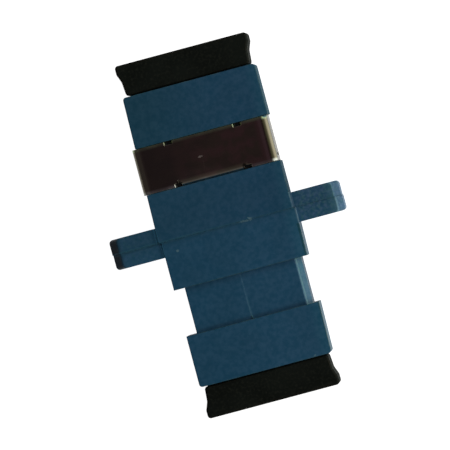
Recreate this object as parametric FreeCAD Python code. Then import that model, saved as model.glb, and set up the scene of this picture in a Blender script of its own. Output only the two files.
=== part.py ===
# SC simplex fibre-optic adapter with a panel clip, and a dust cap in each port.
#
# Frame: X across the wide faces, Y along the optical axis, Z up out of the plain wide face. The
# keyways are in the other wide face, which the adapter lies on. The origin is on the optical axis,
# in the weld plane where the two housing halves meet. The rear half points along +Y and carries
# the panel clip, and the front half points along -Y. All lengths are in millimetres.
#
# Both housing halves come from one mould, and so do both latch inserts and both dust caps, so each
# is modelled for the rear half, and turned half a turn about Z for the front one.
import FreeCAD, Part
import os

# Housing half: outer shell
BODY_WIDTH = 12.82           # at the mouth of the port
BODY_HEIGHT = 9.3
BODY_REACH = 14.09           # from the weld plane to the mouth of the port
SIDE_DRAFT = 0.25            # how far the bevelled narrow side leans in towards the mouth
MOUTH_RADIUS = 0.3           # rounding of the upright edges at the mouth
WELD_BREAK = 0.02            # small chamfer round the weld plane

# Housing half: flange with two screw holes
FLANGE_SPAN = 22.3
FLANGE_HEIGHT = 9.0
FLANGE_HALF = 1.46           # thickness of the half flange on each housing half
FLANGE_OFFSET = 0.03         # how far it sits off the axis, towards the bevelled side
EAR_BEVEL = 0.7              # bevel of the flange's corners, seen along Y
EAR_ROUND = 0.35             # rounding of the ears' ends on the panel side
HOLE_INSET = 2.15            # from the end of an ear to the centre of its screw hole
HOLE_DIAMETER = 2.3

# Housing half: seat of the panel clip, a band sunk into all four sides
SEAT_START = 4.65            # from the weld plane
SEAT_LENGTH = 4.48
SEAT_FACE_DEPTH = 0.35       # on the wide faces
SEAT_SHALLOW_SIDE = 0.48     # on the narrow side with the bevelled corners
SEAT_DEEP_SIDE = 1.03        # on the other narrow side
SEAT_BEVEL = 0.62
SLIDE_STEP = 0.015           # step along the middle of the seat, where two slides of the mould met

# Housing half: port, keyway and the pocket that traps the latch insert
PORT_WIDTH = 9.1
PORT_HEIGHT = 7.5
PORT_LEAD_IN = 0.3
KEYWAY_WIDTH = 2.4
KEYWAY_LENGTH = 4.5
LEDGE = 0.6                  # how far the pocket is wider than the port, on each narrow side
PART_PLAY = 0.05             # play of an inner part in its pocket

# Latch insert
PLATE_THICKNESS = 2.2
HOLDER_DIAMETER = 4.6        # collar that holds half of the alignment sleeve
HOLDER_LIP = 0.45            # lip that keeps the sleeve in, at the tip of the collar
HOLDER_MOUTH = 2.9           # hole in that lip, which the ferrule goes through
HOLDER_LEAD_IN = 0.2
ARM_THICKNESS = 0.8
ARM_WIDTH = 2.8
ARM_REACH = 9.7              # from the weld plane to the tip of the latch arm
ARM_FLEX = 0.45              # room for the arm to bend outwards
HOOK_DEPTH = 0.55
HOOK_LENGTH = 0.9            # length of the hook's slope
HOOK_FLAT = 0.3

# Alignment sleeve
SLEEVE_OUTER = 3.2
SLEEVE_BORE = 2.49
SLEEVE_LENGTH = 11.4
SLEEVE_SLIT = 0.5
SLEEVE_CHAMFER = 0.12

# Panel clip
CLIP_THICKNESS = 0.3
CLIP_BEND = 0.66             # outer radius of the bends
CLIP_SIDE_PLAY = 0.6         # gap between a spring side and the wall of the seat behind it
CLIP_END_PLAY = 0.03         # gap at each end of the clip, along Y
CLIP_LIP = 1.5               # reach of each lip under the keyway face, past its bend
NOTCH_PITCH = 6.7            # bend-relief notches in the long edges
NOTCH_WIDTH = 0.8            # on the outside of the strip, from where their sides slope in
NOTCH_ROOT = 0.4             # width on the inside of the strip
NOTCH_DEPTH = 0.33
ROLLED_WIDTH = 0.7           # rounded-down edge between the two notches next to the flange
ROLLED_DEPTH = 0.2
TAB_LENGTH = 2.9             # spring tab in each side, along Y
TAB_WIDTH = 4.4
TAB_SLOT = 0.25

# Dust cap
GRIP_REACH = 3.02            # how far the grip stands out of the housing
GRIP_HEIGHT = 8.9
GRIP_ROOT_WIDTH = 12.0
GRIP_NECK_WIDTH = 12.22
GRIP_LIP_WIDTH = 12.82
FLARE_START = 1.4            # the flare's ends, measured from the root of the grip
FLARE_END = 2.2
FLARE_RADIUS = 0.8
LIP_RADIUS = 0.4
GRIP_CORNER = 0.32
GRIP_EDGE = 0.15             # bevel round the grip's flat faces
GRIP_GAP = 0.05              # gap between the grip and the mouth of the housing
END_WALL = 1.0
PLUG_LENGTH = 6.0            # how far the plug goes into the port
PLUG_PLAY = 0.1              # gap between the plug and the port, all round
PLUG_WALL = 0.8
PLUG_CORNER = 0.4
ARM_PLAY = 0.35              # gap between the plug and a latch arm

TINY = 1e-6                  # two coordinates closer than this are the same
BEYOND = 1.0                 # cutting solids run this far past the material

X_AXIS = FreeCAD.Vector(1, 0, 0)
Y_AXIS = FreeCAD.Vector(0, 1, 0)
Z_AXIS = FreeCAD.Vector(0, 0, 1)
ORIGIN = FreeCAD.Vector(0, 0, 0)


def block(width, height, start, end, x=0.0, z=0.0):
    """A box centred on x and z that runs along Y from start to end."""
    corner = FreeCAD.Vector(x - width / 2, start, z - height / 2)
    return Part.makeBox(width, end - start, height, corner)


def rod(diameter, start, end, x=0.0):
    """A cylinder along Y."""
    return Part.makeCylinder(diameter / 2, end - start, FreeCAD.Vector(x, start, 0), Y_AXIS)


def taper(start_width, start_height, start, end_width, end_height, end):
    """A block along Y whose section changes evenly from one rectangle to another."""
    low = (-start_width / 2, start, -start_height / 2, -end_height / 2, -end_width / 2)
    high = (start_width / 2, end, start_height / 2, end_height / 2, end_width / 2)
    return Part.makeWedge(*low, *high)


def lies_at(edge, y):
    """Whether the whole edge lies in the plane at this Y."""
    bounds = edge.BoundBox
    return abs(bounds.YMin - y) < TINY and abs(bounds.YMax - y) < TINY


def runs_along_y(edge):
    bounds = edge.BoundBox
    return bounds.XLength < TINY and bounds.ZLength < TINY


def upright_edge_at(edge, x, y):
    """Whether the edge stands along Z at this place, on either side."""
    bounds = edge.BoundBox
    at_place = abs(abs(bounds.XMin) - x) < TINY and abs(bounds.YMin - y) < TINY
    return at_place and bounds.XLength < TINY and bounds.YLength < TINY


def rounded_block(width, height, start, end, radius):
    """A block along Y with its four long edges rounded."""
    plain = block(width, height, start, end)
    return plain.makeFillet(radius, [edge for edge in plain.Edges if runs_along_y(edge)])


def plate_outline(points, thickness):
    """A flat outline in X and Y, made into a solid of this thickness centred on Z = 0."""
    corners = [FreeCAD.Vector(x, y, -thickness / 2) for x, y in points]
    return Part.Face(Part.makePolygon(corners + corners[:1])).extrude(Z_AXIS * thickness)


def profile_along_y(points, start, end):
    """A flat outline in X and Z, made into a solid that runs along Y from start to end."""
    corners = [FreeCAD.Vector(x, start, z) for x, z in points]
    return Part.Face(Part.makePolygon(corners + corners[:1])).extrude(Y_AXIS * (end - start))


def mirrored(shape):
    """The shape and its mirror image in the plane X = 0."""
    return [shape, shape.mirror(ORIGIN, X_AXIS)]


def turned(shape):
    """The shape of the rear half, turned half a turn to serve in the front half."""
    copy = shape.copy()
    copy.rotate(ORIGIN, Z_AXIS, 180)
    return copy


def seat_sides():
    """X of the clip seat's bevelled wall and of its deep wall, on the rear half."""
    bevelled = SEAT_SHALLOW_SIDE - BODY_WIDTH / 2
    deep = BODY_WIDTH / 2 - SEAT_DEEP_SIDE
    return bevelled, deep


def seat_height():
    return BODY_HEIGHT - 2 * SEAT_FACE_DEPTH


def flange_half():
    """Half flange with bevelled corners, its ends rounded on the panel side."""
    plate = block(FLANGE_SPAN, FLANGE_HEIGHT, 0, FLANGE_HALF)
    plate = plate.makeChamfer(EAR_BEVEL, [edge for edge in plate.Edges if runs_along_y(edge)])
    panel_side = [edge for edge in plate.Edges if lies_at(edge, FLANGE_HALF)]
    ends = [edge for edge in panel_side if edge.BoundBox.XLength < EAR_BEVEL + TINY]
    plate = plate.makeFillet(EAR_ROUND, ends)
    plate.translate(FreeCAD.Vector(-FLANGE_OFFSET, 0, 0))
    return plate


def outer_shell():
    """Body with its flange, its edges broken at the weld plane. The bevelled side has draft."""
    half = BODY_WIDTH / 2
    outline = [(half, 0), (half, BODY_REACH), (-half, BODY_REACH), (-half - SIDE_DRAFT, 0)]
    body = plate_outline(outline, BODY_HEIGHT)
    corners = [edge for edge in body.Edges if upright_edge_at(edge, half, BODY_REACH)]
    body = body.makeFillet(MOUTH_RADIUS, corners)
    shell = body.fuse(flange_half()).removeSplitter()
    return shell.makeChamfer(WELD_BREAK, [edge for edge in shell.Edges if lies_at(edge, 0)])


def seat_cut():
    """The band that is cut from the shell to seat the clip, with bevels on one narrow side."""
    bevelled, deep = seat_sides()
    top = seat_height() / 2
    low = top - SLIDE_STEP
    bevel_start = bevelled + SEAT_BEVEL
    outline = [(deep, -top), (deep, top), (0, top), (0, low), (bevel_start, low)]
    outline += [(bevelled, low - SEAT_BEVEL), (bevelled, SEAT_BEVEL - top), (bevel_start, -top)]
    seat_end = SEAT_START + SEAT_LENGTH
    core = profile_along_y(outline, SEAT_START, seat_end)
    band = block(FLANGE_SPAN, BODY_HEIGHT + BEYOND, SEAT_START, seat_end)
    return band.cut(core)


def port_cut():
    """Room for the plug of a fibre connector, with a lead-in and a keyway through one wall."""
    port = block(PORT_WIDTH, PORT_HEIGHT, 0, BODY_REACH + BEYOND)
    mouth_width = PORT_WIDTH + 2 * PORT_LEAD_IN
    mouth_height = PORT_HEIGHT + 2 * PORT_LEAD_IN
    lead_start = BODY_REACH - PORT_LEAD_IN
    lead_in = taper(PORT_WIDTH, PORT_HEIGHT, lead_start, mouth_width, mouth_height, BODY_REACH)
    keyway_start = BODY_REACH - KEYWAY_LENGTH
    keyway = block(KEYWAY_WIDTH, BODY_HEIGHT, keyway_start, BODY_REACH + BEYOND, z=-BODY_HEIGHT / 2)
    return port.fuse([lead_in, keyway])


def insert_pocket():
    """Pocket behind a ledge on each narrow side, which traps the plate of the latch insert."""
    depth = PLATE_THICKNESS + PART_PLAY
    return block(PORT_WIDTH + 2 * LEDGE, PORT_HEIGHT, 0, depth)


def housing_half():
    hole_x = FLANGE_SPAN / 2 - HOLE_INSET
    screw_hole = rod(HOLE_DIAMETER, -BEYOND, FLANGE_HALF + BEYOND, hole_x)
    cuts = [seat_cut(), port_cut(), insert_pocket()] + mirrored(screw_hole)
    return outer_shell().cut(cuts)


def sleeve_holder():
    """Collar that holds half of the sleeve, with a lip and a funnel at its tip."""
    bore_end = SLEEVE_LENGTH / 2 + PART_PLAY
    tip = bore_end + HOLDER_LIP
    funnel_start = tip - HOLDER_LEAD_IN
    mouth_radius = HOLDER_MOUTH / 2
    funnel_base = FreeCAD.Vector(0, funnel_start, 0)
    funnel_radius = mouth_radius + HOLDER_LEAD_IN
    funnel = Part.makeCone(mouth_radius, funnel_radius, HOLDER_LEAD_IN, funnel_base, Y_AXIS)
    sleeve_room = rod(SLEEVE_OUTER + 2 * PART_PLAY, 0, bore_end)
    collar = rod(HOLDER_DIAMETER, 0, tip)
    return collar, [sleeve_room, rod(HOLDER_MOUTH, 0, tip + BEYOND), funnel]


def latch_arm():
    """Arm beside the collar, with a hook that faces the axis and slopes up to its catch."""
    outer = PORT_WIDTH / 2 - ARM_FLEX
    inner = outer - ARM_THICKNESS
    catch = inner - HOOK_DEPTH
    slope_start = ARM_REACH - HOOK_LENGTH
    hook_start = slope_start - HOOK_FLAT
    outline = [(inner, 0), (outer, 0), (outer, ARM_REACH), (inner, ARM_REACH)]
    outline += [(catch, slope_start), (catch, hook_start), (inner, hook_start)]
    return plate_outline(outline, ARM_WIDTH)


def latch_insert():
    """Plate that sits in the housing's pocket, with the sleeve holder and two latch arms."""
    plate_width = PORT_WIDTH + 2 * LEDGE - 2 * PART_PLAY
    plate = block(plate_width, PORT_HEIGHT - 2 * PART_PLAY, 0, PLATE_THICKNESS)
    collar, holes = sleeve_holder()
    return plate.fuse([collar] + mirrored(latch_arm())).removeSplitter().cut(holes)


def alignment_sleeve():
    """Split ceramic sleeve, chamfered on its outer rims, with its slit facing up."""
    half = SLEEVE_LENGTH / 2
    tube = rod(SLEEVE_OUTER, -half, half)
    rims = [edge for edge in tube.Edges if lies_at(edge, half) or lies_at(edge, -half)]
    tube = tube.makeChamfer(SLEEVE_CHAMFER, rims)
    bore = rod(SLEEVE_BORE, -half - BEYOND, half + BEYOND)
    slit = block(SLEEVE_SLIT, SLEEVE_OUTER, -half - BEYOND, half + BEYOND, z=SLEEVE_OUTER / 2)
    return tube.cut([bore, slit])


def clip_notches(start, end, web_top):
    """Relief notches in both long edges of the web, wider on its outside than on its inside."""
    web_under = web_top - CLIP_THICKNESS
    right = [(NOTCH_ROOT / 2, web_under - BEYOND), (NOTCH_ROOT / 2, web_under)]
    right += [(NOTCH_WIDTH / 2, web_top), (NOTCH_WIDTH / 2, web_top + BEYOND)]
    left = [(-x, z) for x, z in reversed(right)]
    notches = []
    for edge in (start, end):
        notch = profile_along_y(right + left, edge - NOTCH_DEPTH, edge + NOTCH_DEPTH)
        notch.translate(X_AXIS * (NOTCH_PITCH / 2))
        notches += mirrored(notch)
    return notches


def rolled_edge(start, web_top):
    """What is taken off the web between two notches, so that its edge curves down."""
    radius = (ROLLED_WIDTH ** 2 + ROLLED_DEPTH ** 2) / (2 * ROLLED_DEPTH)
    end = start + ROLLED_WIDTH
    strip = block(NOTCH_PITCH, 2 * ROLLED_DEPTH, start - BEYOND, end, z=web_top)
    centre = FreeCAD.Vector(-NOTCH_PITCH, end, web_top - radius)
    return strip.cut(Part.makeCylinder(radius, 2 * NOTCH_PITCH, centre, X_AXIS))


def tab_slot(middle, across):
    """Three-sided slot that frees a spring tab, open towards the mouth of the housing."""
    start = middle - TAB_LENGTH / 2
    end = middle + TAB_LENGTH / 2
    outer = block(across, TAB_WIDTH + 2 * TAB_SLOT, start - TAB_SLOT, end)
    return outer.cut(block(across, TAB_WIDTH, start, end + BEYOND))


def panel_clip():
    """Spring strip bent round the rear half, open between its two lips on the keyway face.

    The strip is centred between the two sides of its seat, and its notches on the optical axis.
    """
    bevelled, deep = seat_sides()
    start = SEAT_START + CLIP_END_PLAY
    end = SEAT_START + SEAT_LENGTH - CLIP_END_PLAY
    inner_width = deep - bevelled + 2 * CLIP_SIDE_PLAY
    outer_width = inner_width + 2 * CLIP_THICKNESS
    outer_height = seat_height() + 2 * CLIP_THICKNESS
    outer = rounded_block(outer_width, outer_height, start, end, CLIP_BEND)
    inner = rounded_block(inner_width, seat_height(), start, end, CLIP_BEND - CLIP_THICKNESS)
    mouth_width = outer_width - 2 * (CLIP_BEND + CLIP_LIP)
    mouth = block(mouth_width, outer_height, start, end, z=-outer_height / 2)
    cuts = [inner, mouth, tab_slot((start + end) / 2, outer_width + BEYOND)]
    clip = outer.cut(cuts)
    clip.translate(FreeCAD.Vector((bevelled + deep) / 2, 0, 0))
    web_top = outer_height / 2
    return clip.cut(clip_notches(start, end, web_top) + [rolled_edge(start, web_top)])


def cap_grip(root):
    """Grip block, waisted on its narrow sides and flared to a rounded lip at its outer end."""
    end = root + GRIP_REACH
    profile = [(GRIP_ROOT_WIDTH / 2, root, GRIP_CORNER)]
    profile += [(GRIP_NECK_WIDTH / 2, root + FLARE_START, FLARE_RADIUS)]
    profile += [(GRIP_LIP_WIDTH / 2, root + FLARE_END, LIP_RADIUS)]
    profile += [(GRIP_LIP_WIDTH / 2, end, GRIP_CORNER)]
    right = [(x, y) for x, y, radius in profile]
    left = [(-x, y) for x, y in reversed(right)]
    grip = plate_outline(right + left, GRIP_HEIGHT)
    for x, y, radius in profile:
        grip = grip.makeFillet(radius, [edge for edge in grip.Edges if upright_edge_at(edge, x, y)])
    rims = [edge for edge in grip.Edges if edge.BoundBox.ZLength < TINY]
    return grip.makeChamfer(GRIP_EDGE, rims)


def dust_cap():
    """Grip outside the housing and a hollow plug in the port, slotted past the latch arms."""
    root = BODY_REACH + GRIP_GAP
    plug_end = BODY_REACH - PLUG_LENGTH
    width = PORT_WIDTH - 2 * PLUG_PLAY
    height = PORT_HEIGHT - 2 * PLUG_PLAY
    plug = rounded_block(width, height, plug_end, root + END_WALL, PLUG_CORNER)
    hollow_width = width - 2 * PLUG_WALL
    hollow_height = height - 2 * PLUG_WALL
    hollow = block(hollow_width, hollow_height, plug_end - BEYOND, root + GRIP_REACH - END_WALL)
    arm_slot = block(width + BEYOND, ARM_WIDTH + 2 * ARM_PLAY, plug_end - BEYOND, ARM_REACH + ARM_PLAY)
    return cap_grip(root).fuse(plug).cut([hollow, arm_slot])


def main():
    housing = housing_half()
    insert = latch_insert()
    cap = dust_cap()
    nodes = {
        "rear_housing": housing,
        "front_housing": turned(housing),
        "rear_latch_insert": insert,
        "front_latch_insert": turned(insert),
        "alignment_sleeve": alignment_sleeve(),
        "panel_clip": panel_clip(),
        "rear_dust_cap": cap,
        "front_dust_cap": turned(cap),
    }
    os.makedirs("parts", exist_ok=True)
    for name, shape in nodes.items():
        shape.exportStep(os.path.join("parts", name + ".step"))
        print(name, "valid", shape.isValid(), "solids", len(shape.Solids), "volume", round(shape.Volume, 3))


main()
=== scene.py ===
"""Looks, light and camera for the SC fibre adapter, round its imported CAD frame."""
import math

import bpy
from mathutils import Matrix, Vector


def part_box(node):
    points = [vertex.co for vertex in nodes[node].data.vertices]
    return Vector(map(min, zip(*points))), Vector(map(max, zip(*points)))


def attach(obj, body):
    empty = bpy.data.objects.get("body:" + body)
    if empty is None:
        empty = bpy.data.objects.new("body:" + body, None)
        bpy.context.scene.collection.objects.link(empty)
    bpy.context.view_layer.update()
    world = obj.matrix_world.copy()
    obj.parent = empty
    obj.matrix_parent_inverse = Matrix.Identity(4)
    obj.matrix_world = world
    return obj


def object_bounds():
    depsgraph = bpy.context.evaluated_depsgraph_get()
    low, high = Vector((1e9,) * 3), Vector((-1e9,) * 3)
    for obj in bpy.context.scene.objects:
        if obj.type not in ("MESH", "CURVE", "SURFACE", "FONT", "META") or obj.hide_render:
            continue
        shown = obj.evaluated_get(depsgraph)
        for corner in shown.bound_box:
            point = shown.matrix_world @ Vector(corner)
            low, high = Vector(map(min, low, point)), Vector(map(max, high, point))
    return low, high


MM = 0.001

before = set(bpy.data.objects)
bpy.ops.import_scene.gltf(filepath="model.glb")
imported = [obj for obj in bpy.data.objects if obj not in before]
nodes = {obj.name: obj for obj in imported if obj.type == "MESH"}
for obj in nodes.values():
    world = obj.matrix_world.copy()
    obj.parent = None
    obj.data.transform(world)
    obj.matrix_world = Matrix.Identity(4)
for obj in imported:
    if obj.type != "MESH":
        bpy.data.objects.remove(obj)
cad_low, cad_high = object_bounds()
clip_low, clip_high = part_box("panel_clip")


# Places on the object that the materials follow. X and Y are counted from the middle of the weld.

TOP = cad_high[2]                    # the wide face that shows
BODY_SIDE = 6.41 * MM                # half the width of the body
FLANGE_HALF = 1.46 * MM              # thickness of the half flange on each housing half
EAR_BEVEL = 10.45 * MM               # the bevel of each ear's end starts here, along X
EAR_BEVEL_FOOT = TOP - 0.85 * MM     # and ends at this height
SEAT_START = 4.65 * MM               # the clip's seat, along Y, on both halves
SEAT_LENGTH = 4.48 * MM
SEAT_BEVEL = 5.35 * MM               # the front seat's floor ends in a bevel here, towards +X
SEAT_BEVEL_FOOT = TOP - 1 * MM       # and the bevel ends in an upright wall at this height
SEAT_RIB = 0.06 * MM                 # the fine step along the middle of the seat
NOTCH = 3.35 * MM                    # the clip's notches, along X on each side of the optical axis
CLIP_BEND = 0.66 * MM                # outer radius of the clip's bends
LEFT_BEND = clip_low[0] + CLIP_BEND  # the clip's wide face ends here, along X, and its bends start
RIGHT_BEND = clip_high[0] - CLIP_BEND


# Camera and floor

FRAME_WIDTH = 42.33 * MM             # what the picture takes in, at the height of the wide face
CAMERA_DISTANCE = 1.0
CAMERA_LEAN = math.radians(1.75)     # towards +X, from straight above
PICTURE_TURN = math.radians(15)      # the optical axis leans to the right by this much in the picture
AIM = Vector((-0.17 * MM, 0.085 * MM, TOP))
SENSOR = 36.0
NEAREST_SEEN = 0.01
FURTHEST_SEEN = 10.0
FLOOR_SIZE = 4.0
FLOOR_GAP = 0.01 * MM                # keeps the floor clear of the face that lies on it
FLOOR_COLOUR = (0.9, 0.9, 0.9, 1)
FLOOR_ROUGHNESS = 0.9
FLOOR_GLOSS = 0.1
FLOOR_EMISSION = (1, 1, 1, 1)
FLOOR_GLOW = 1.0                     # what the camera sees of the floor on top of the light it reflects
FLOOR_LIT = 0.6                      # what the object gets from the floor towards +X in the same way
FLOOR_DIM = 0.4                      # and from what lies close around it
FLOOR_NEAR = 15 * MM                 # at this distance the first is full and the second starts to fade
FLOOR_FAR = 45 * MM                  # and here the second ends


def make_camera():
    data = bpy.data.cameras.new("camera")
    data.sensor_width = SENSOR
    data.lens = SENSOR * CAMERA_DISTANCE / FRAME_WIDTH
    data.clip_start = NEAREST_SEEN
    data.clip_end = FURTHEST_SEEN
    camera = bpy.data.objects.new("camera", data)
    bpy.context.scene.collection.objects.link(camera)
    towards_camera = Vector((math.sin(CAMERA_LEAN), 0, math.cos(CAMERA_LEAN)))
    picture_up = Vector((math.sin(PICTURE_TURN), math.cos(PICTURE_TURN), 0))
    right = picture_up.cross(towards_camera).normalized()
    up = towards_camera.cross(right)
    turn = Matrix((right, up, towards_camera)).transposed().to_4x4()
    camera.matrix_world = Matrix.Translation(AIM + CAMERA_DISTANCE * towards_camera) @ turn
    bpy.context.scene.camera = camera


def make_floor():
    bpy.ops.mesh.primitive_plane_add(size=FLOOR_SIZE, location=(0, 0, cad_low[2] - FLOOR_GAP))
    floor = bpy.context.object
    floor.name = "floor"
    n = material_nodes("floor")
    n.shader.inputs["Base Color"].default_value = FLOOR_COLOUR
    n.shader.inputs["Roughness"].default_value = FLOOR_ROUGHNESS
    n.shader.inputs["Specular IOR Level"].default_value = FLOOR_GLOSS
    n.shader.inputs["Emission Color"].default_value = FLOOR_EMISSION
    seen = n.add("ShaderNodeLightPath").outputs["Is Camera Ray"]
    distance = n.add("ShaderNodeVectorMath", operation="LENGTH")
    n.feed(distance, 0, n.place)
    nearby = n.ramp(distance.outputs["Value"], FLOOR_FAR, FLOOR_NEAR, 0, FLOOR_DIM)
    on_the_right = n.ramp(n.along("X"), 0, FLOOR_NEAR, 0, FLOOR_LIT)
    glowing = n.ramp(seen, 0, 1, n.maths("MAXIMUM", nearby, on_the_right), FLOOR_GLOW)
    n.feed(n.shader, "Emission Strength", glowing)
    floor.data.materials.append(n.owner)


# Light: a wide glow low over +X and a faint one over -Y, in a dim room that is darkest overhead

SIDE_GLOW = (1.2, 1.2, 1.1, 1)
FRONT_GLOW = (0.11, 0.105, 0.1, 1)
HORIZON_COLOUR = (0.065, 0.055, 0.057, 1)
ZENITH_COLOUR = (0.04, 0.029, 0.035, 1)


def glow(n, azimuth, elevation, core, reach):
    """1 within the core of this part of the room, and 0 beyond its reach. All are in degrees."""
    turn = math.radians(azimuth)
    rise = math.radians(elevation)
    middle = (math.cos(turn) * math.cos(rise), math.sin(turn) * math.cos(rise), math.sin(rise))
    nearness = n.add("ShaderNodeVectorMath", operation="DOT_PRODUCT")
    n.feed(nearness, 0, n.direction)
    n.feed(nearness, 1, middle)
    edge = math.cos(math.radians(reach))
    return n.ramp(nearness.outputs["Value"], edge, math.cos(math.radians(core)))


def make_world():
    world = bpy.data.worlds.new("studio")
    n = Nodes(world, "Background")
    overhead = glow(n, azimuth=0, elevation=90, core=4, reach=16)
    in_front = glow(n, azimuth=-90, elevation=10, core=20, reach=70)
    beside = glow(n, azimuth=0, elevation=12, core=10, reach=65)
    colour = n.mix(overhead, HORIZON_COLOUR, ZENITH_COLOUR)
    colour = n.mix(in_front, colour, FRONT_GLOW)
    colour = n.mix(beside, colour, SIDE_GLOW)
    n.feed(n.shader, "Color", colour)
    bpy.context.scene.world = world


# What the materials share

BEVEL_SAMPLES = 6
EDGE_STARTS = 0.995                  # how alike the true and the rounded normal are on flat ground
EDGE_FULL = 0.85                     # and on an edge
RAGGED_SIZE = 0.2 * MM               # size of the teeth along the edge of a mark
COLOUR_A = 6                         # sockets of the Mix node for colours, whose names aren't unique
COLOUR_B = 7
COLOUR_RESULT = 2


class Nodes:
    """The node tree of a material or a world, with short ways to add what they share."""

    def __init__(self, owner, shader):
        owner.use_nodes = True
        self.owner = owner
        self.tree = owner.node_tree
        self.shader = self.tree.nodes[shader]
        coordinates = self.add("ShaderNodeTexCoord").outputs
        self.place = coordinates["Object"]
        self.direction = coordinates["Generated"]

    def add(self, kind, **settings):
        node = self.tree.nodes.new(kind)
        for key, value in settings.items():
            setattr(node, key, value)
        return node

    def feed(self, node, socket, value):
        if isinstance(value, bpy.types.NodeSocket):
            self.tree.links.new(value, node.inputs[socket])
        else:
            node.inputs[socket].default_value = value

    def maths(self, operation, *values):
        node = self.add("ShaderNodeMath", operation=operation)
        for index, value in enumerate(values):
            self.feed(node, index, value)
        return node.outputs[0]

    def times(self, first, *others):
        """The product of these numbers."""
        product = first
        for other in others:
            product = self.maths("MULTIPLY", product, other)
        return product

    def along(self, axis):
        """The point's place along this axis, in metres."""
        split = self.add("ShaderNodeSeparateXYZ")
        self.feed(split, 0, self.place)
        return split.outputs[axis]

    def ramp(self, value, low, high, out_low=0.0, out_high=1.0):
        """What runs smoothly from out_low to out_high as the value goes from low to high."""
        node = self.add("ShaderNodeMapRange", interpolation_type="SMOOTHSTEP")
        self.feed(node, "Value", value)
        self.feed(node, "From Min", low)
        self.feed(node, "From Max", high)
        self.feed(node, "To Min", out_low)
        self.feed(node, "To Max", out_high)
        return node.outputs[0]

    def band(self, value, middle, half_width, fade):
        """1 within half_width of middle, falling to 0 over the fade beyond it."""
        distance = self.maths("ABSOLUTE", self.maths("SUBTRACT", value, middle))
        return self.ramp(distance, half_width + fade, half_width)

    def noise(self, size, detail=3.0, stretch=(1, 1, 1)):
        """Noise from 0 to 1 whose features have about this size in metres."""
        mapping = self.add("ShaderNodeMapping")
        self.feed(mapping, "Vector", self.place)
        mapping.inputs["Scale"].default_value = stretch
        node = self.add("ShaderNodeTexNoise")
        self.feed(node, "Vector", mapping.outputs[0])
        self.feed(node, "Scale", 1 / size)
        self.feed(node, "Detail", detail)
        return node.outputs["Fac"]

    def patches(self, size, detail, low, high, least=0.0, most=1.0):
        """Noise of this size, at its least where it is under low and at its most where it is over high."""
        return self.ramp(self.noise(size, detail), low, high, least, most)

    def mix(self, share, first, second, blend="MIX"):
        node = self.add("ShaderNodeMix", data_type="RGBA", blend_type=blend)
        self.feed(node, 0, share)
        self.feed(node, COLOUR_A, first)
        self.feed(node, COLOUR_B, second)
        return node.outputs[COLOUR_RESULT]

    def tint(self, share, colour, factors):
        """The colour with its red, green and blue multiplied by these factors, by this share."""
        return self.mix(share, colour, self.mix(1, colour, factors, "MULTIPLY"))

    def mark(self, centre, length, width, angle=0.0, ragged=0.5):
        """1 inside a ragged spot or streak at this place, and 0 outside it. Sizes are in metres."""
        mapping = self.add("ShaderNodeMapping", vector_type="TEXTURE")
        self.feed(mapping, "Vector", self.place)
        mapping.inputs["Location"].default_value = centre
        mapping.inputs["Rotation"].default_value = (0, 0, math.radians(angle))
        mapping.inputs["Scale"].default_value = (length / 2, width / 2, MM)
        distance = self.add("ShaderNodeVectorMath", operation="LENGTH")
        self.feed(distance, 0, mapping.outputs[0])
        edge = self.patches(RAGGED_SIZE, 3, 0.25, 0.75, 1 - ragged, 1 + ragged)
        return self.ramp(self.maths("DIVIDE", distance.outputs["Value"], edge), 1, 0.5)

    def soft_normal(self, radius):
        """The surface's normal with its edges rounded by this radius, in metres."""
        node = self.add("ShaderNodeBevel", samples=BEVEL_SAMPLES)
        self.feed(node, "Radius", radius)
        return node.outputs[0]

    def edge_wear(self, radius):
        """1 on the edges, and 0 on flat ground."""
        rounded = self.soft_normal(radius)
        flat = self.add("ShaderNodeNewGeometry").outputs["Normal"]
        dot = self.add("ShaderNodeVectorMath", operation="DOT_PRODUCT")
        self.feed(dot, 0, rounded)
        self.feed(dot, 1, flat)
        return self.ramp(dot.outputs["Value"], EDGE_STARTS, EDGE_FULL)

    def bump(self, height, depth, normal=None):
        node = self.add("ShaderNodeBump")
        self.feed(node, "Height", height)
        self.feed(node, "Distance", depth)
        if normal is not None:
            self.feed(node, "Normal", normal)
        return node.outputs[0]


def material_nodes(name):
    return Nodes(bpy.data.materials.new(name), "Principled BSDF")


ROUGHNESS_DRIFT = 0.05
ROUGHNESS_SPECKLE = 0.06
SINK_DEPTH = 0.02 * MM               # the soft waves that plastic gets as it cools


def moulded_plastic(n, dark, light, wear_and_highlight, roughness, grain, grain_depth, edge, dulled=0):
    """Moulded plastic: a fine grain, soft colour drift, and wear on the edges. Returns the colour.

    What dulled gives is added to the roughness.
    """
    ground = n.mix(n.patches(4 * MM, 5, 0.3, 0.7), (*dark, 1), (*light, 1))
    wear = n.times(n.edge_wear(edge), n.patches(0.9 * MM, 4, 0.3, 0.65))
    drift = n.patches(2.5 * MM, 3, 0.3, 0.7, roughness - ROUGHNESS_DRIFT, roughness + ROUGHNESS_DRIFT)
    speckle = n.patches(grain, 4, 0.35, 0.7, -ROUGHNESS_SPECKLE, ROUGHNESS_SPECKLE)
    n.feed(n.shader, "Roughness", n.maths("ADD", n.maths("ADD", drift, speckle), dulled))
    fine = n.bump(n.noise(grain, 3), grain_depth, n.soft_normal(edge))
    n.feed(n.shader, "Normal", n.bump(n.noise(3 * MM, 2), SINK_DEPTH, fine))
    return n.mix(wear, ground, (*wear_and_highlight, 1))


# The housing's plastic. Left and right mean towards -X and +X.

HOUSING_GLOSS = 0.5
REAR_WALL_DULLED = 0.4


def in_seat(n):
    """The distance along Y from the seat's end near the flange, and 1 in the seats and 0 outside them."""
    depth = n.maths("SUBTRACT", n.maths("ABSOLUTE", n.along("Y")), SEAT_START)
    return depth, n.band(depth, SEAT_LENGTH / 2, half_width=SEAT_LENGTH / 2, fade=0.05 * MM)


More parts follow.
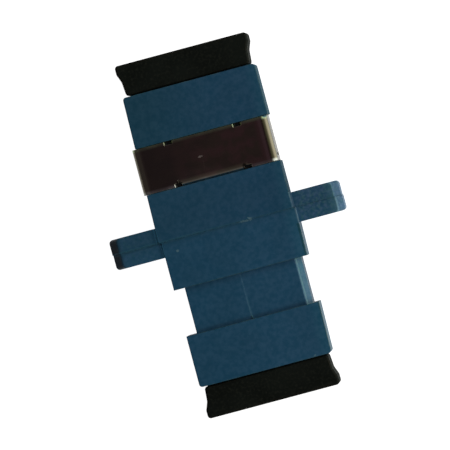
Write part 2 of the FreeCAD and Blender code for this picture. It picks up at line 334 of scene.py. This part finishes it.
def on_flange_top(n):
    """1 on the flange's wide face and its ears' bevels, and 0 lower down and past the flange."""
    from_weld = n.maths("ABSOLUTE", n.along("Y"))
    flange = n.ramp(from_weld, FLANGE_HALF + 0.24 * MM, FLANGE_HALF - 0.06 * MM)
    return n.times(flange, n.ramp(n.along("Z"), EAR_BEVEL_FOOT - 0.35 * MM, EAR_BEVEL_FOOT + 0.05 * MM))


def on_rear_half(n):
    return n.ramp(n.along("Y"), -0.05 * MM, 0.05 * MM)


def on_front_half(n):
    return n.maths("SUBTRACT", 1, on_rear_half(n))


def on_right_walls(n):
    """1 on the narrow sides over +X, past the flange, and the same on the rear half's alone."""
    from_weld = n.maths("ABSOLUTE", n.along("Y"))
    past_flange = n.ramp(from_weld, FLANGE_HALF - 0.06 * MM, FLANGE_HALF + 0.14 * MM)
    both = n.times(past_flange, n.ramp(n.along("X"), BODY_SIDE - 0.06 * MM, BODY_SIDE - 0.02 * MM))
    return both, n.times(both, n.ramp(n.along("Y"), -MM, MM))


def painted_half_light(n, colour):
    """Painted light and shade: paler towards the lit right on the front half, and darker and greyer
    towards the rear half's left end.
    """
    across = n.along("X")
    length = n.along("Y")
    warm = (1.2, 0.96, 0.96, 1)
    grey = (0.8, 0.83, 0.74, 1)
    plain = (1.02, 1, 0.99, 1)
    pale = (1.3, 1.1, 1.09, 1)
    leftwards = n.times(n.ramp(across, 4 * MM, -7 * MM), n.ramp(length, 4 * MM, 11 * MM, 0.4, 1))
    rear_tint = n.mix(leftwards, warm, grey)
    front_tint = n.mix(n.ramp(across, -5 * MM, 3 * MM), plain, pale)
    tint = n.mix(n.ramp(length, 0.2 * MM, -1 * MM), rear_tint, front_tint)
    return n.mix(1, colour, tint, "MULTIPLY")


def right_edge_highlight(n, colour):
    """A painted highlight: a little paler along the wide face's edge over +X, where the light comes from.
    """
    pale = (1.1, 1.2, 1.1, 1)
    near_edge = n.ramp(n.along("X"), 5 * MM, BODY_SIDE)
    on_face = n.ramp(n.along("Z"), TOP - 0.1 * MM, TOP - 0.03 * MM)
    return n.tint(n.times(near_edge, on_face), colour, pale)


def mottle(n, colour):
    """Fine mottling, from darker and bluer to paler and warmer."""
    blue = (0.6, 0.89, 0.91, 1)
    warm = (1.42, 1.11, 1.09, 1)
    tint = n.mix(n.patches(0.4 * MM, 4, 0.3, 0.7), blue, warm)
    return n.mix(1, colour, tint, "MULTIPLY")


def seat_corner_shade(n, colour):
    """Painted shade in the corners of both seats, by the flange and by the mouth."""
    painted_shade = (0.005, 0.01, 0.01, 1)
    depth, inside = in_seat(n)
    near_flange = n.ramp(depth, 0.8 * MM, 0.1 * MM, 0, 0.14)
    near_mouth = n.ramp(depth, SEAT_LENGTH - 0.5 * MM, SEAT_LENGTH - 0.2 * MM, 0, 0.22)
    corners = n.maths("MAXIMUM", near_flange, near_mouth)
    return n.mix(n.times(inside, corners), colour, painted_shade)


def seat_bevel(n, colour):
    """The seat's bevel over +X, greener near the flange, paler further from it and speckled, a painted
    highlight along its border, and the darker wall below it.
    """
    green = (0.6, 1.02, 0.9, 1)
    pale = (1.52, 1.22, 1.04, 1)
    dark = (0.3, 0.5, 0.48, 1)
    speckle_green = (0.12, 0.4, 0.34, 1)
    border_highlight = (0.25, 0.55, 0.55, 1)
    depth, inside = in_seat(n)
    across = n.along("X")
    above_wall = n.ramp(n.along("Z"), SEAT_BEVEL_FOOT - 0.05 * MM, SEAT_BEVEL_FOOT + 0.05 * MM)
    local_tint = n.mix(n.ramp(depth, 0.6 * MM, 2.2 * MM), green, pale)
    bevel = n.times(inside, n.ramp(across, SEAT_BEVEL - 0.02 * MM, SEAT_BEVEL + 0.04 * MM))
    colour = n.tint(bevel, colour, n.mix(above_wall, dark, local_tint))
    speckle = n.times(bevel, n.ramp(depth, 3.5 * MM, 1.5 * MM, 0.2, 1))
    speckle = n.times(speckle, n.patches(0.14 * MM, 2, 0.5, 0.75, most=0.35))
    colour = n.mix(n.times(above_wall, speckle), colour, speckle_green)
    # Painted highlight along the edge between the seat's floor and its bevel, in patches.
    border = n.times(inside, n.band(across, SEAT_BEVEL + 0.08 * MM, half_width=0.03 * MM, fade=0.06 * MM))
    wear_and_highlight = n.patches(0.5 * MM, 3, 0.35, 0.6, least=0.1, most=0.45)
    return n.mix(n.times(border, wear_and_highlight), colour, border_highlight)


def seat_rib_highlight(n, colour):
    """The rib along the middle of the seats painted paler as a highlight, which shows more towards the
    mouths.
    """
    pale = (0.2, 0.5, 0.6, 1)
    depth, inside = in_seat(n)
    rib = n.times(inside, n.band(n.along("X"), SEAT_RIB, half_width=0.05 * MM, fade=0.08 * MM))
    rib = n.times(rib, n.ramp(depth, 0.8 * MM, 4.2 * MM, 0, 0.16))
    return n.mix(rib, colour, pale)


def right_ear_root_highlight(n, colour):
    """A painted highlight: a pale line where the right ear leaves the body, a little further out on the
    front half.
    """
    pale = (0.27, 0.45, 0.6, 1)
    top = on_flange_top(n)
    across = n.along("X")
    rear_place = BODY_SIDE + 0.12 * MM
    front_place = BODY_SIDE + 0.2 * MM
    for half, place in ((on_rear_half(n), rear_place), (on_front_half(n), front_place)):
        line = n.times(top, half, n.band(across, place, half_width=0.04 * MM, fade=0.1 * MM))
        colour = n.mix(n.times(line, 0.35), colour, pale)
    return colour


def left_ear_root_light(n, colour):
    """Painted light: a paler blue line where the left ear leaves the body, lifting the body's shadow
    there, wider and further out on the rear half.
    """
    blue = (0.08, 0.42, 0.7, 1)
    top = on_flange_top(n)
    across = n.along("X")
    outer_edge = n.ramp(across, -BODY_SIDE - 0.54 * MM, -BODY_SIDE - 0.34 * MM)
    inner_edge = n.ramp(across, -BODY_SIDE - 0.11 * MM, -BODY_SIDE - 0.25 * MM)
    rear_step = n.times(outer_edge, inner_edge)
    front_step = n.band(across, -BODY_SIDE - 0.05 * MM, half_width=0.04 * MM, fade=0.12 * MM)
    for half, step, share in ((on_rear_half(n), rear_step, 0.85), (on_front_half(n), front_step, 0.95)):
        line = n.times(top, half, step)
        colour = n.mix(n.times(line, share), colour, blue)
    return colour


def ear_dust(n, colour):
    """Dust on the ears, and more of it on the right one."""
    greenish = (0.24, 0.55, 0.5, 1)
    bluish = (0.24, 0.39, 0.74, 1)
    top = on_flange_top(n)
    across = n.along("X")
    dust = n.mix(n.patches(0.4 * MM, 3, 0.35, 0.65), greenish, bluish)
    right_ear = n.ramp(across, BODY_SIDE + 0.09 * MM, BODY_SIDE + 0.79 * MM)
    left_ear = n.ramp(across, -BODY_SIDE - 0.39 * MM, -BODY_SIDE - 0.99 * MM)
    for ear, most in ((right_ear, 0.3), (left_ear, 0.1)):
        cover = n.times(ear, n.patches(0.3 * MM, 4, 0.35, 0.7, most=most))
        colour = n.mix(n.times(top, cover), colour, dust)
    return colour


def right_ear_end(n, colour):
    """The right ear paler up to its bevel, and a painted highlight along the bevel's edge on the front
    half.
    """
    teal = (0.14, 0.43, 0.52, 1)
    pale = (0.22, 0.48, 0.6, 1)
    top = on_flange_top(n)
    across = n.along("X")
    up_to_bevel = n.ramp(across, EAR_BEVEL - 0.95 * MM, EAR_BEVEL - 0.1 * MM, 0, 0.35)
    up_to_bevel = n.times(up_to_bevel, n.ramp(across, EAR_BEVEL + 0.1 * MM, EAR_BEVEL - 0.05 * MM))
    colour = n.mix(n.times(top, up_to_bevel), colour, teal)
    # Painted highlight along the edge where the bevel starts, on the front half.
    edge = n.band(across, EAR_BEVEL + 0.07 * MM, half_width=0.06 * MM, fade=0.08 * MM)
    local_tint = n.times(top, on_front_half(n), edge)
    return n.mix(n.times(local_tint, 0.45), colour, pale)


def left_ear_end_shade(n, colour):
    """The left ear's end, darker on its wide face and its bevel: painted shade on the side away from the
    light.
    """
    shade_tint = (0.1, 0.2, 0.2, 1)
    end = n.ramp(n.along("X"), -EAR_BEVEL + 0.45 * MM, -EAR_BEVEL - 0.3 * MM)
    above_foot = n.ramp(n.along("Z"), EAR_BEVEL_FOOT - 0.25 * MM, EAR_BEVEL_FOOT + 0.1 * MM)
    return n.tint(n.times(end, above_foot), colour, shade_tint)


def weld_light_and_shade(n, colour):
    """A pale line and a dark one beside it along the weld, fading towards +X: painted light and shade of
    the weld's slight ridge.
    """
    pale = (0.04, 0.19, 0.3, 1)
    dark = (0.025, 0.13, 0.225, 1)
    fading = n.ramp(n.along("X"), 9 * MM, -9 * MM, 0.15, 1)
    weld = n.times(fading, n.patches(0.8 * MM, 3, 0.35, 0.6, least=0.5))
    for place, tint in ((0.06 * MM, pale), (-0.12 * MM, dark)):
        line = n.band(n.along("Y"), place, half_width=0.04 * MM, fade=0.08 * MM)
        colour = n.mix(n.times(weld, line), colour, tint)
    return colour


def scuffs(n, colour):
    """The few places where the wide face was knocked."""
    pale = (0.2, 0.4, 0.5, 1)
    places = [
        n.mark((1.68 * MM, -0.02 * MM, TOP), length=0.95 * MM, width=0.26 * MM),
        n.mark((2.27 * MM, 0.02 * MM, TOP), length=0.42 * MM, width=0.36 * MM, ragged=0.3),
        n.mark((2.17 * MM, 0.15 * MM, TOP), length=0.4 * MM, width=0.2 * MM, angle=-37, ragged=0.3),
        n.mark((-5.11 * MM, -1.1 * MM, TOP), length=0.34 * MM, width=0.34 * MM, ragged=0.2),
        n.mark((4.85 * MM, -13.95 * MM, TOP), length=0.34 * MM, width=0.2 * MM, angle=20, ragged=0.3),
    ]
    for place in places:
        colour = n.mix(n.times(place, 0.7), colour, pale)
    return colour


def notch_shade(n, colour):
    """Painted shade on the seat under the clip's notches."""
    painted_shade = (0.003, 0.006, 0.006, 1)
    below = n.ramp(n.along("Z"), TOP - 0.1 * MM, TOP - 0.25 * MM)
    for x in (-NOTCH, NOTCH):
        for y in (clip_low[1], clip_high[1]):
            spot = n.mark((x, y, TOP - 0.3 * MM), length=1.3 * MM, width=1.1 * MM, ragged=0.1)
            colour = n.mix(n.times(spot, below), colour, painted_shade)
    return colour


def housing_plastic():
    """Blue plastic with painted light and shade along the weld, in the seats, under the notches and by the
    ears, dust and the few scuffs that the housing has.
    """
    n = material_nodes("blue_plastic")
    n.shader.inputs["Specular IOR Level"].default_value = HOUSING_GLOSS
    grey = (0.7, 0.75, 0.62, 1)
    # The colour that darkens the rear half's wall over +X as painted shade.
    dark = (0.55, 0.78, 0.76, 1)
    right_walls, rear_wall = on_right_walls(n)
    colour = moulded_plastic(
        n, dark=(0.024, 0.153, 0.303), light=(0.029, 0.169, 0.334), wear_and_highlight=(0.09, 0.29, 0.37),
        roughness=0.45, grain=0.09 * MM, grain_depth=0.004 * MM, edge=0.15 * MM,
        dulled=n.times(rear_wall, REAR_WALL_DULLED))
    colour = painted_half_light(n, colour)
    colour = right_edge_highlight(n, colour)
    colour = n.tint(right_walls, colour, grey)
    colour = mottle(n, colour)
    # Painted shade: the rear half's wall over +X darker.
    colour = n.tint(rear_wall, colour, dark)
    for change in (seat_corner_shade, seat_bevel, seat_rib_highlight, right_ear_root_highlight, left_ear_root_light, ear_dust,
                   right_ear_end, left_ear_end_shade, weld_light_and_shade, scuffs, notch_shade):
        colour = change(n, colour)
    n.feed(n.shader, "Base Color", colour)
    return n.owner


def flash_plastic():
    """The housing's plastic where it is thin and stressed, and so paler."""
    n = material_nodes("pale_blue_plastic")
    colour = moulded_plastic(
        n, dark=(0.09, 0.3, 0.38), light=(0.12, 0.36, 0.44), wear_and_highlight=(0.16, 0.42, 0.5),
        roughness=0.5, grain=0.05 * MM, grain_depth=0.002 * MM, edge=0.03 * MM)
    n.feed(n.shader, "Base Color", colour)
    return n.owner


# The caps and the inner parts

CAP_GLOSS = 0.05


def cap_plastic():
    """Black plastic with a fine eroded texture, brownish along its edges."""
    n = material_nodes("black_plastic")
    n.shader.inputs["Specular IOR Level"].default_value = CAP_GLOSS
    blotch_grey = (0.029, 0.034, 0.027, 1)
    colour = moulded_plastic(
        n, dark=(0.012, 0.0155, 0.013), light=(0.019, 0.0245, 0.021), wear_and_highlight=(0.08, 0.055, 0.025),
        roughness=0.7, grain=0.07 * MM, grain_depth=0.012 * MM, edge=0.12 * MM)
    blotches = n.patches(0.25 * MM, 4, 0.45, 0.75)
    n.feed(n.shader, "Base Color", n.mix(blotches, colour, blotch_grey))
    return n.owner


def insert_plastic():
    """Undyed plastic, which is off-white."""
    n = material_nodes("natural_plastic")
    colour = moulded_plastic(
        n, dark=(0.72, 0.7, 0.62), light=(0.8, 0.78, 0.71), wear_and_highlight=(0.88, 0.87, 0.82),
        roughness=0.45, grain=0.08 * MM, grain_depth=0.003 * MM, edge=0.08 * MM)
    n.feed(n.shader, "Base Color", colour)
    return n.owner


def zirconia():
    """Ground ceramic, off-white and nearly smooth."""
    n = material_nodes("zirconia")
    ivory = (0.86, 0.85, 0.8, 1)
    white = (0.93, 0.92, 0.89, 1)
    n.feed(n.shader, "Base Color", n.mix(n.noise(1.5 * MM), ivory, white))
    n.feed(n.shader, "Roughness", n.patches(0.2 * MM, 4, 0.3, 0.7, least=0.14, most=0.24))
    n.feed(n.shader, "Normal", n.bump(n.noise(0.05 * MM, 3), 0.001 * MM, n.soft_normal(0.04 * MM)))
    return n.owner


# The clip's steel

CLIP_EDGE = 0.13 * MM                # rounding of the strip's edges
ROLLING_LINES = (0.02, 1, 1)         # stretches noise along X into fine lines
ROLLING_DEPTH = 0.0004 * MM
MARK_ROUGHNESS = 0.6


def clip_tarnish(n):
    """The strip's colour: grey to straw and purple from left to right, with painted reflections in lines
    along the right bend and on the left bend.
    """
    grey = (0.23, 0.21, 0.175, 1)
    straw = (0.32, 0.28, 0.21, 1)
    purple = (0.43, 0.29, 0.26, 1)
    pink = (0.58, 0.42, 0.4, 1)
    brown = (0.17, 0.13, 0.1, 1)
    olive = (0.065, 0.06, 0.034, 1)
    left_bend_reflection = (0.31, 0.29, 0.23, 1)
    across = n.along("X")
    rightwards = n.ramp(across, -6 * MM, 2.5 * MM)
    drift = n.patches(1.6 * MM, 5, 0.3, 0.7, -0.25, 0.25)
    colour = n.mix(n.maths("ADD", rightwards, drift), grey, straw)
    tarnish = n.times(rightwards, n.patches(1.1 * MM, 4, 0.4, 0.65))
    near_bend = n.band(across, RIGHT_BEND - 0.32 * MM, half_width=0.1 * MM, fade=0.5 * MM)
    before_bend = n.ramp(across, RIGHT_BEND + 0.08 * MM, RIGHT_BEND - 0.22 * MM)
    colour = n.mix(n.times(n.maths("MAXIMUM", tarnish, near_bend), before_bend), colour, purple)
    # Painted reflection: a pale line just before the right bend, and a darker one on the bend.
    bend_highlight = n.band(across, RIGHT_BEND - 0.12 * MM, half_width=0.1 * MM, fade=0.25 * MM)
    colour = n.mix(bend_highlight, colour, pink)
    bend_shade = n.band(across, RIGHT_BEND + 0.18 * MM, half_width=0.1 * MM, fade=0.2 * MM)
    outwards = n.ramp(across, RIGHT_BEND + 0.04 * MM, RIGHT_BEND + 0.2 * MM)
    colour = n.mix(bend_shade, colour, n.mix(outwards, brown, olive))
    # Painted reflection: the left bend lighter.
    on_left_bend = n.ramp(across, LEFT_BEND + 0.22 * MM, LEFT_BEND + 0.02 * MM)
    return n.mix(on_left_bend, colour, left_bend_reflection)


def clip_polish(n, colour):
    """A painted sheen near the flange, burnished edges, and rims painted lighter as reflections."""
    sheen_straw = (0.6, 0.54, 0.44, 1)
    edge_straw = (0.6, 0.56, 0.44, 1)
    silver = (0.87, 0.91, 0.85, 1)
    green = (0.65, 0.83, 0.5, 1)
    sheen = n.mark((-1.2 * MM, clip_low[1] + 0.4 * MM, TOP), length=6.4 * MM, width=2.4 * MM, ragged=0.1)
    colour = n.mix(n.times(sheen, 0.16), colour, sheen_straw)
    colour = n.mix(n.edge_wear(CLIP_EDGE), colour, edge_straw)
    # Painted reflection along the strip's rims, silver near the flange and green towards the mouth.
    half = (clip_high[1] - clip_low[1]) / 2
    from_middle = n.maths("SUBTRACT", n.along("Y"), (clip_low[1] + clip_high[1]) / 2)
    rim_reflection = n.ramp(n.maths("ABSOLUTE", from_middle), half - 0.38 * MM, half - 0.12 * MM)
    rim_reflection = n.times(rim_reflection, n.patches(1.3 * MM, 3, 0.35, 0.65, least=0.5))
    towards_mouth = n.ramp(from_middle, -MM, MM)
    return n.mix(rim_reflection, colour, n.mix(towards_mouth, silver, green))


def clip_right_side(n, colour):
    """A painted highlight on the crest of the bend over +X, and the darker side past it."""
    bright = (1.35, 1.45, 1.3, 1)
    dark = (0.27, 0.27, 0.26, 1)
    across = n.along("X")
    crest_highlight = n.band(across, RIGHT_BEND + 0.55 * MM, half_width=0.04 * MM, fade=0.07 * MM)
    colour = n.tint(crest_highlight, colour, bright)
    outside = n.ramp(across, RIGHT_BEND + 0.58 * MM, RIGHT_BEND + 0.65 * MM)
    return n.tint(outside, colour, dark)


def clip_dull_spots(n, colour):
    """Dull spots by the notches near the flange, and a bluish one on the right bend towards the mouth."""
    brown = (0.07, 0.06, 0.05, 1)
    blue = (0.06, 0.13, 0.16, 1)
    for x in (NOTCH - 0.3 * MM, -NOTCH):
        spot = n.mark((x, clip_low[1] + 0.3 * MM, TOP), length=0.5 * MM, width=0.7 * MM, ragged=0.1)
        colour = n.mix(spot, colour, brown)
    corner = (RIGHT_BEND + 0.5 * MM, clip_high[1], TOP - 0.2 * MM)
    local_tint = n.mark(corner, length=0.7 * MM, width=0.5 * MM, ragged=0.3)
    return n.mix(local_tint, colour, blue)


def spring_steel():
    """Rolled stainless strip: tarnished, with fine lines, burnished edges, painted reflections on its rims
    and bends, a fleck and a scratch.
    """
    n = material_nodes("spring_steel")
    n.shader.inputs["Metallic"].default_value = 1
    bright = (0.9, 0.88, 0.85, 1)
    colour = clip_tarnish(n)
    colour = clip_polish(n, colour)
    colour = clip_right_side(n, colour)
    colour = clip_dull_spots(n, colour)
    fleck = n.mark((-0.75 * MM, 6.92 * MM, TOP), length=0.52 * MM, width=0.28 * MM, angle=5, ragged=0.3)
    scratch = n.mark((-0.6 * MM, 6.2 * MM, TOP), length=1.3 * MM, width=0.12 * MM, angle=85)
    marks = n.maths("MAXIMUM", n.times(fleck, 0.45), n.times(scratch, 0.06))
    n.feed(n.shader, "Base Color", n.mix(marks, colour, bright))
    lines = n.noise(0.05 * MM, 3, ROLLING_LINES)
    polish = n.ramp(lines, 0.3, 0.7, 0.13, 0.19)
    n.feed(n.shader, "Roughness", n.maths("ADD", polish, n.times(marks, MARK_ROUGHNESS)))
    n.feed(n.shader, "Normal", n.bump(lines, ROLLING_DEPTH, n.soft_normal(CLIP_EDGE)))
    return n.owner


# The curl of moulding flash

CURL_RADIUS = 0.045 * MM
CURL_ROUNDNESS = 3


def make_flash_curl(material):
    """Curl of moulding flash at the end of the rib in the front half's seat, up over the seat's edge."""
    end = -SEAT_START - SEAT_LENGTH
    # The path is in millimetres, from the optical axis, the seat's end and the wide face.
    path = [
        (0.07, 0.3, -0.36),
        (0.09, 0.1, -0.33),
        (0.14, 0.02, -0.1),
        (0.3, -0.01, -0.04),
        (0.46, -0.05, -0.06),
    ]
    curve = bpy.data.curves.new("flash_curl", "CURVE")
    curve.dimensions = "3D"
    curve.bevel_depth = CURL_RADIUS
    curve.bevel_resolution = CURL_ROUNDNESS
    curve.use_fill_caps = True
    spline = curve.splines.new("NURBS")
    spline.points.add(len(path) - 1)
    for point, (x, y, z) in zip(spline.points, path):
        point.co = (x * MM, end + y * MM, TOP + z * MM, 1)
    spline.order_u = 3
    spline.use_endpoint_u = True
    curve.materials.append(material)
    curl = bpy.data.objects.new("flash_curl", curve)
    bpy.context.scene.collection.objects.link(curl)
    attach(curl, "adapter")


# The whole scene

def dress(node, material):
    mesh_object = nodes[node]
    mesh_object.data.materials.clear()
    mesh_object.data.materials.append(material)


def dress_all():
    blue = housing_plastic()
    black = cap_plastic()
    natural = insert_plastic()
    for side in ("front", "rear"):
        dress(side + "_housing", blue)
        dress(side + "_dust_cap", black)
        dress(side + "_latch_insert", natural)
    dress("panel_clip", spring_steel())
    dress("alignment_sleeve", zirconia())
    make_flash_curl(flash_plastic())


make_camera()
make_floor()
make_world()
bpy.context.scene.view_settings.view_transform = "Standard"
dress_all()
